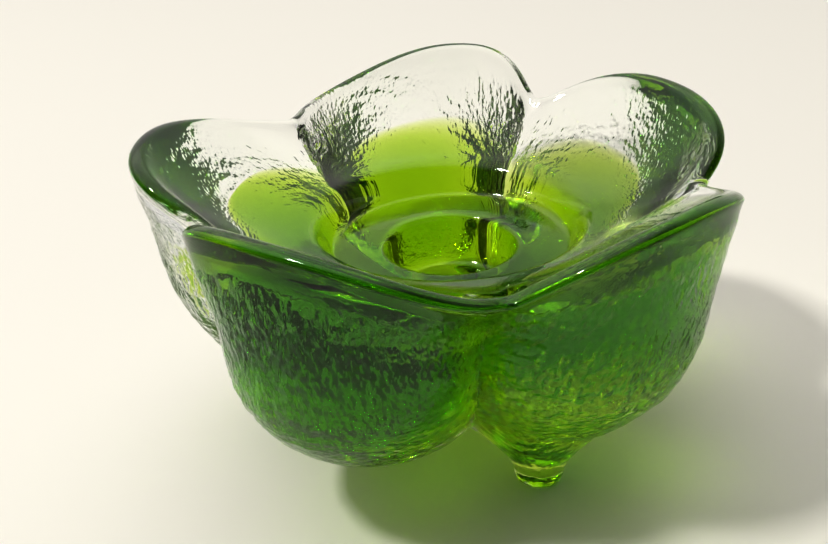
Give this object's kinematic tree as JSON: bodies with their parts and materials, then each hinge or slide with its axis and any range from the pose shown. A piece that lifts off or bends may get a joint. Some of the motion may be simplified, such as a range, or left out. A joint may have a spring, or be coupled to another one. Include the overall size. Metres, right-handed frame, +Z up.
{
  "type": "flower frog bowl",
  "caption": "Clear and green glass bowl shaped as an open flower, standing on short feet, with a stepped socket in its middle that holds a bunch of stems or a candle upright.",
  "frame": {"origin": "Middle of the bowl's outline seen from above, on the plane that the feet stand on.", "axes": "+Z is up through the open flower. -Y faces the viewer, towards the crease between the two front petals. +X is to the viewer's right."},
  "size_m": [0.1131, 0.1152, 0.064],
  "materials": {
    "clear_glass": "clear pressed glass, fire-polished inside and on the rim, bark-textured outside",
    "green_glass": "clear lime to bottle green glass, polished where it is bare",
    "foot_glass": "green-tinted pressed glass, polished"
  },
  "bodies": {
    "root": {"clear_casing": "clear_glass", "green_core": "green_glass", "foot_front": "foot_glass", "foot_back_right": "foot_glass", "foot_left": "foot_glass"}
  },
  "joints": []
}
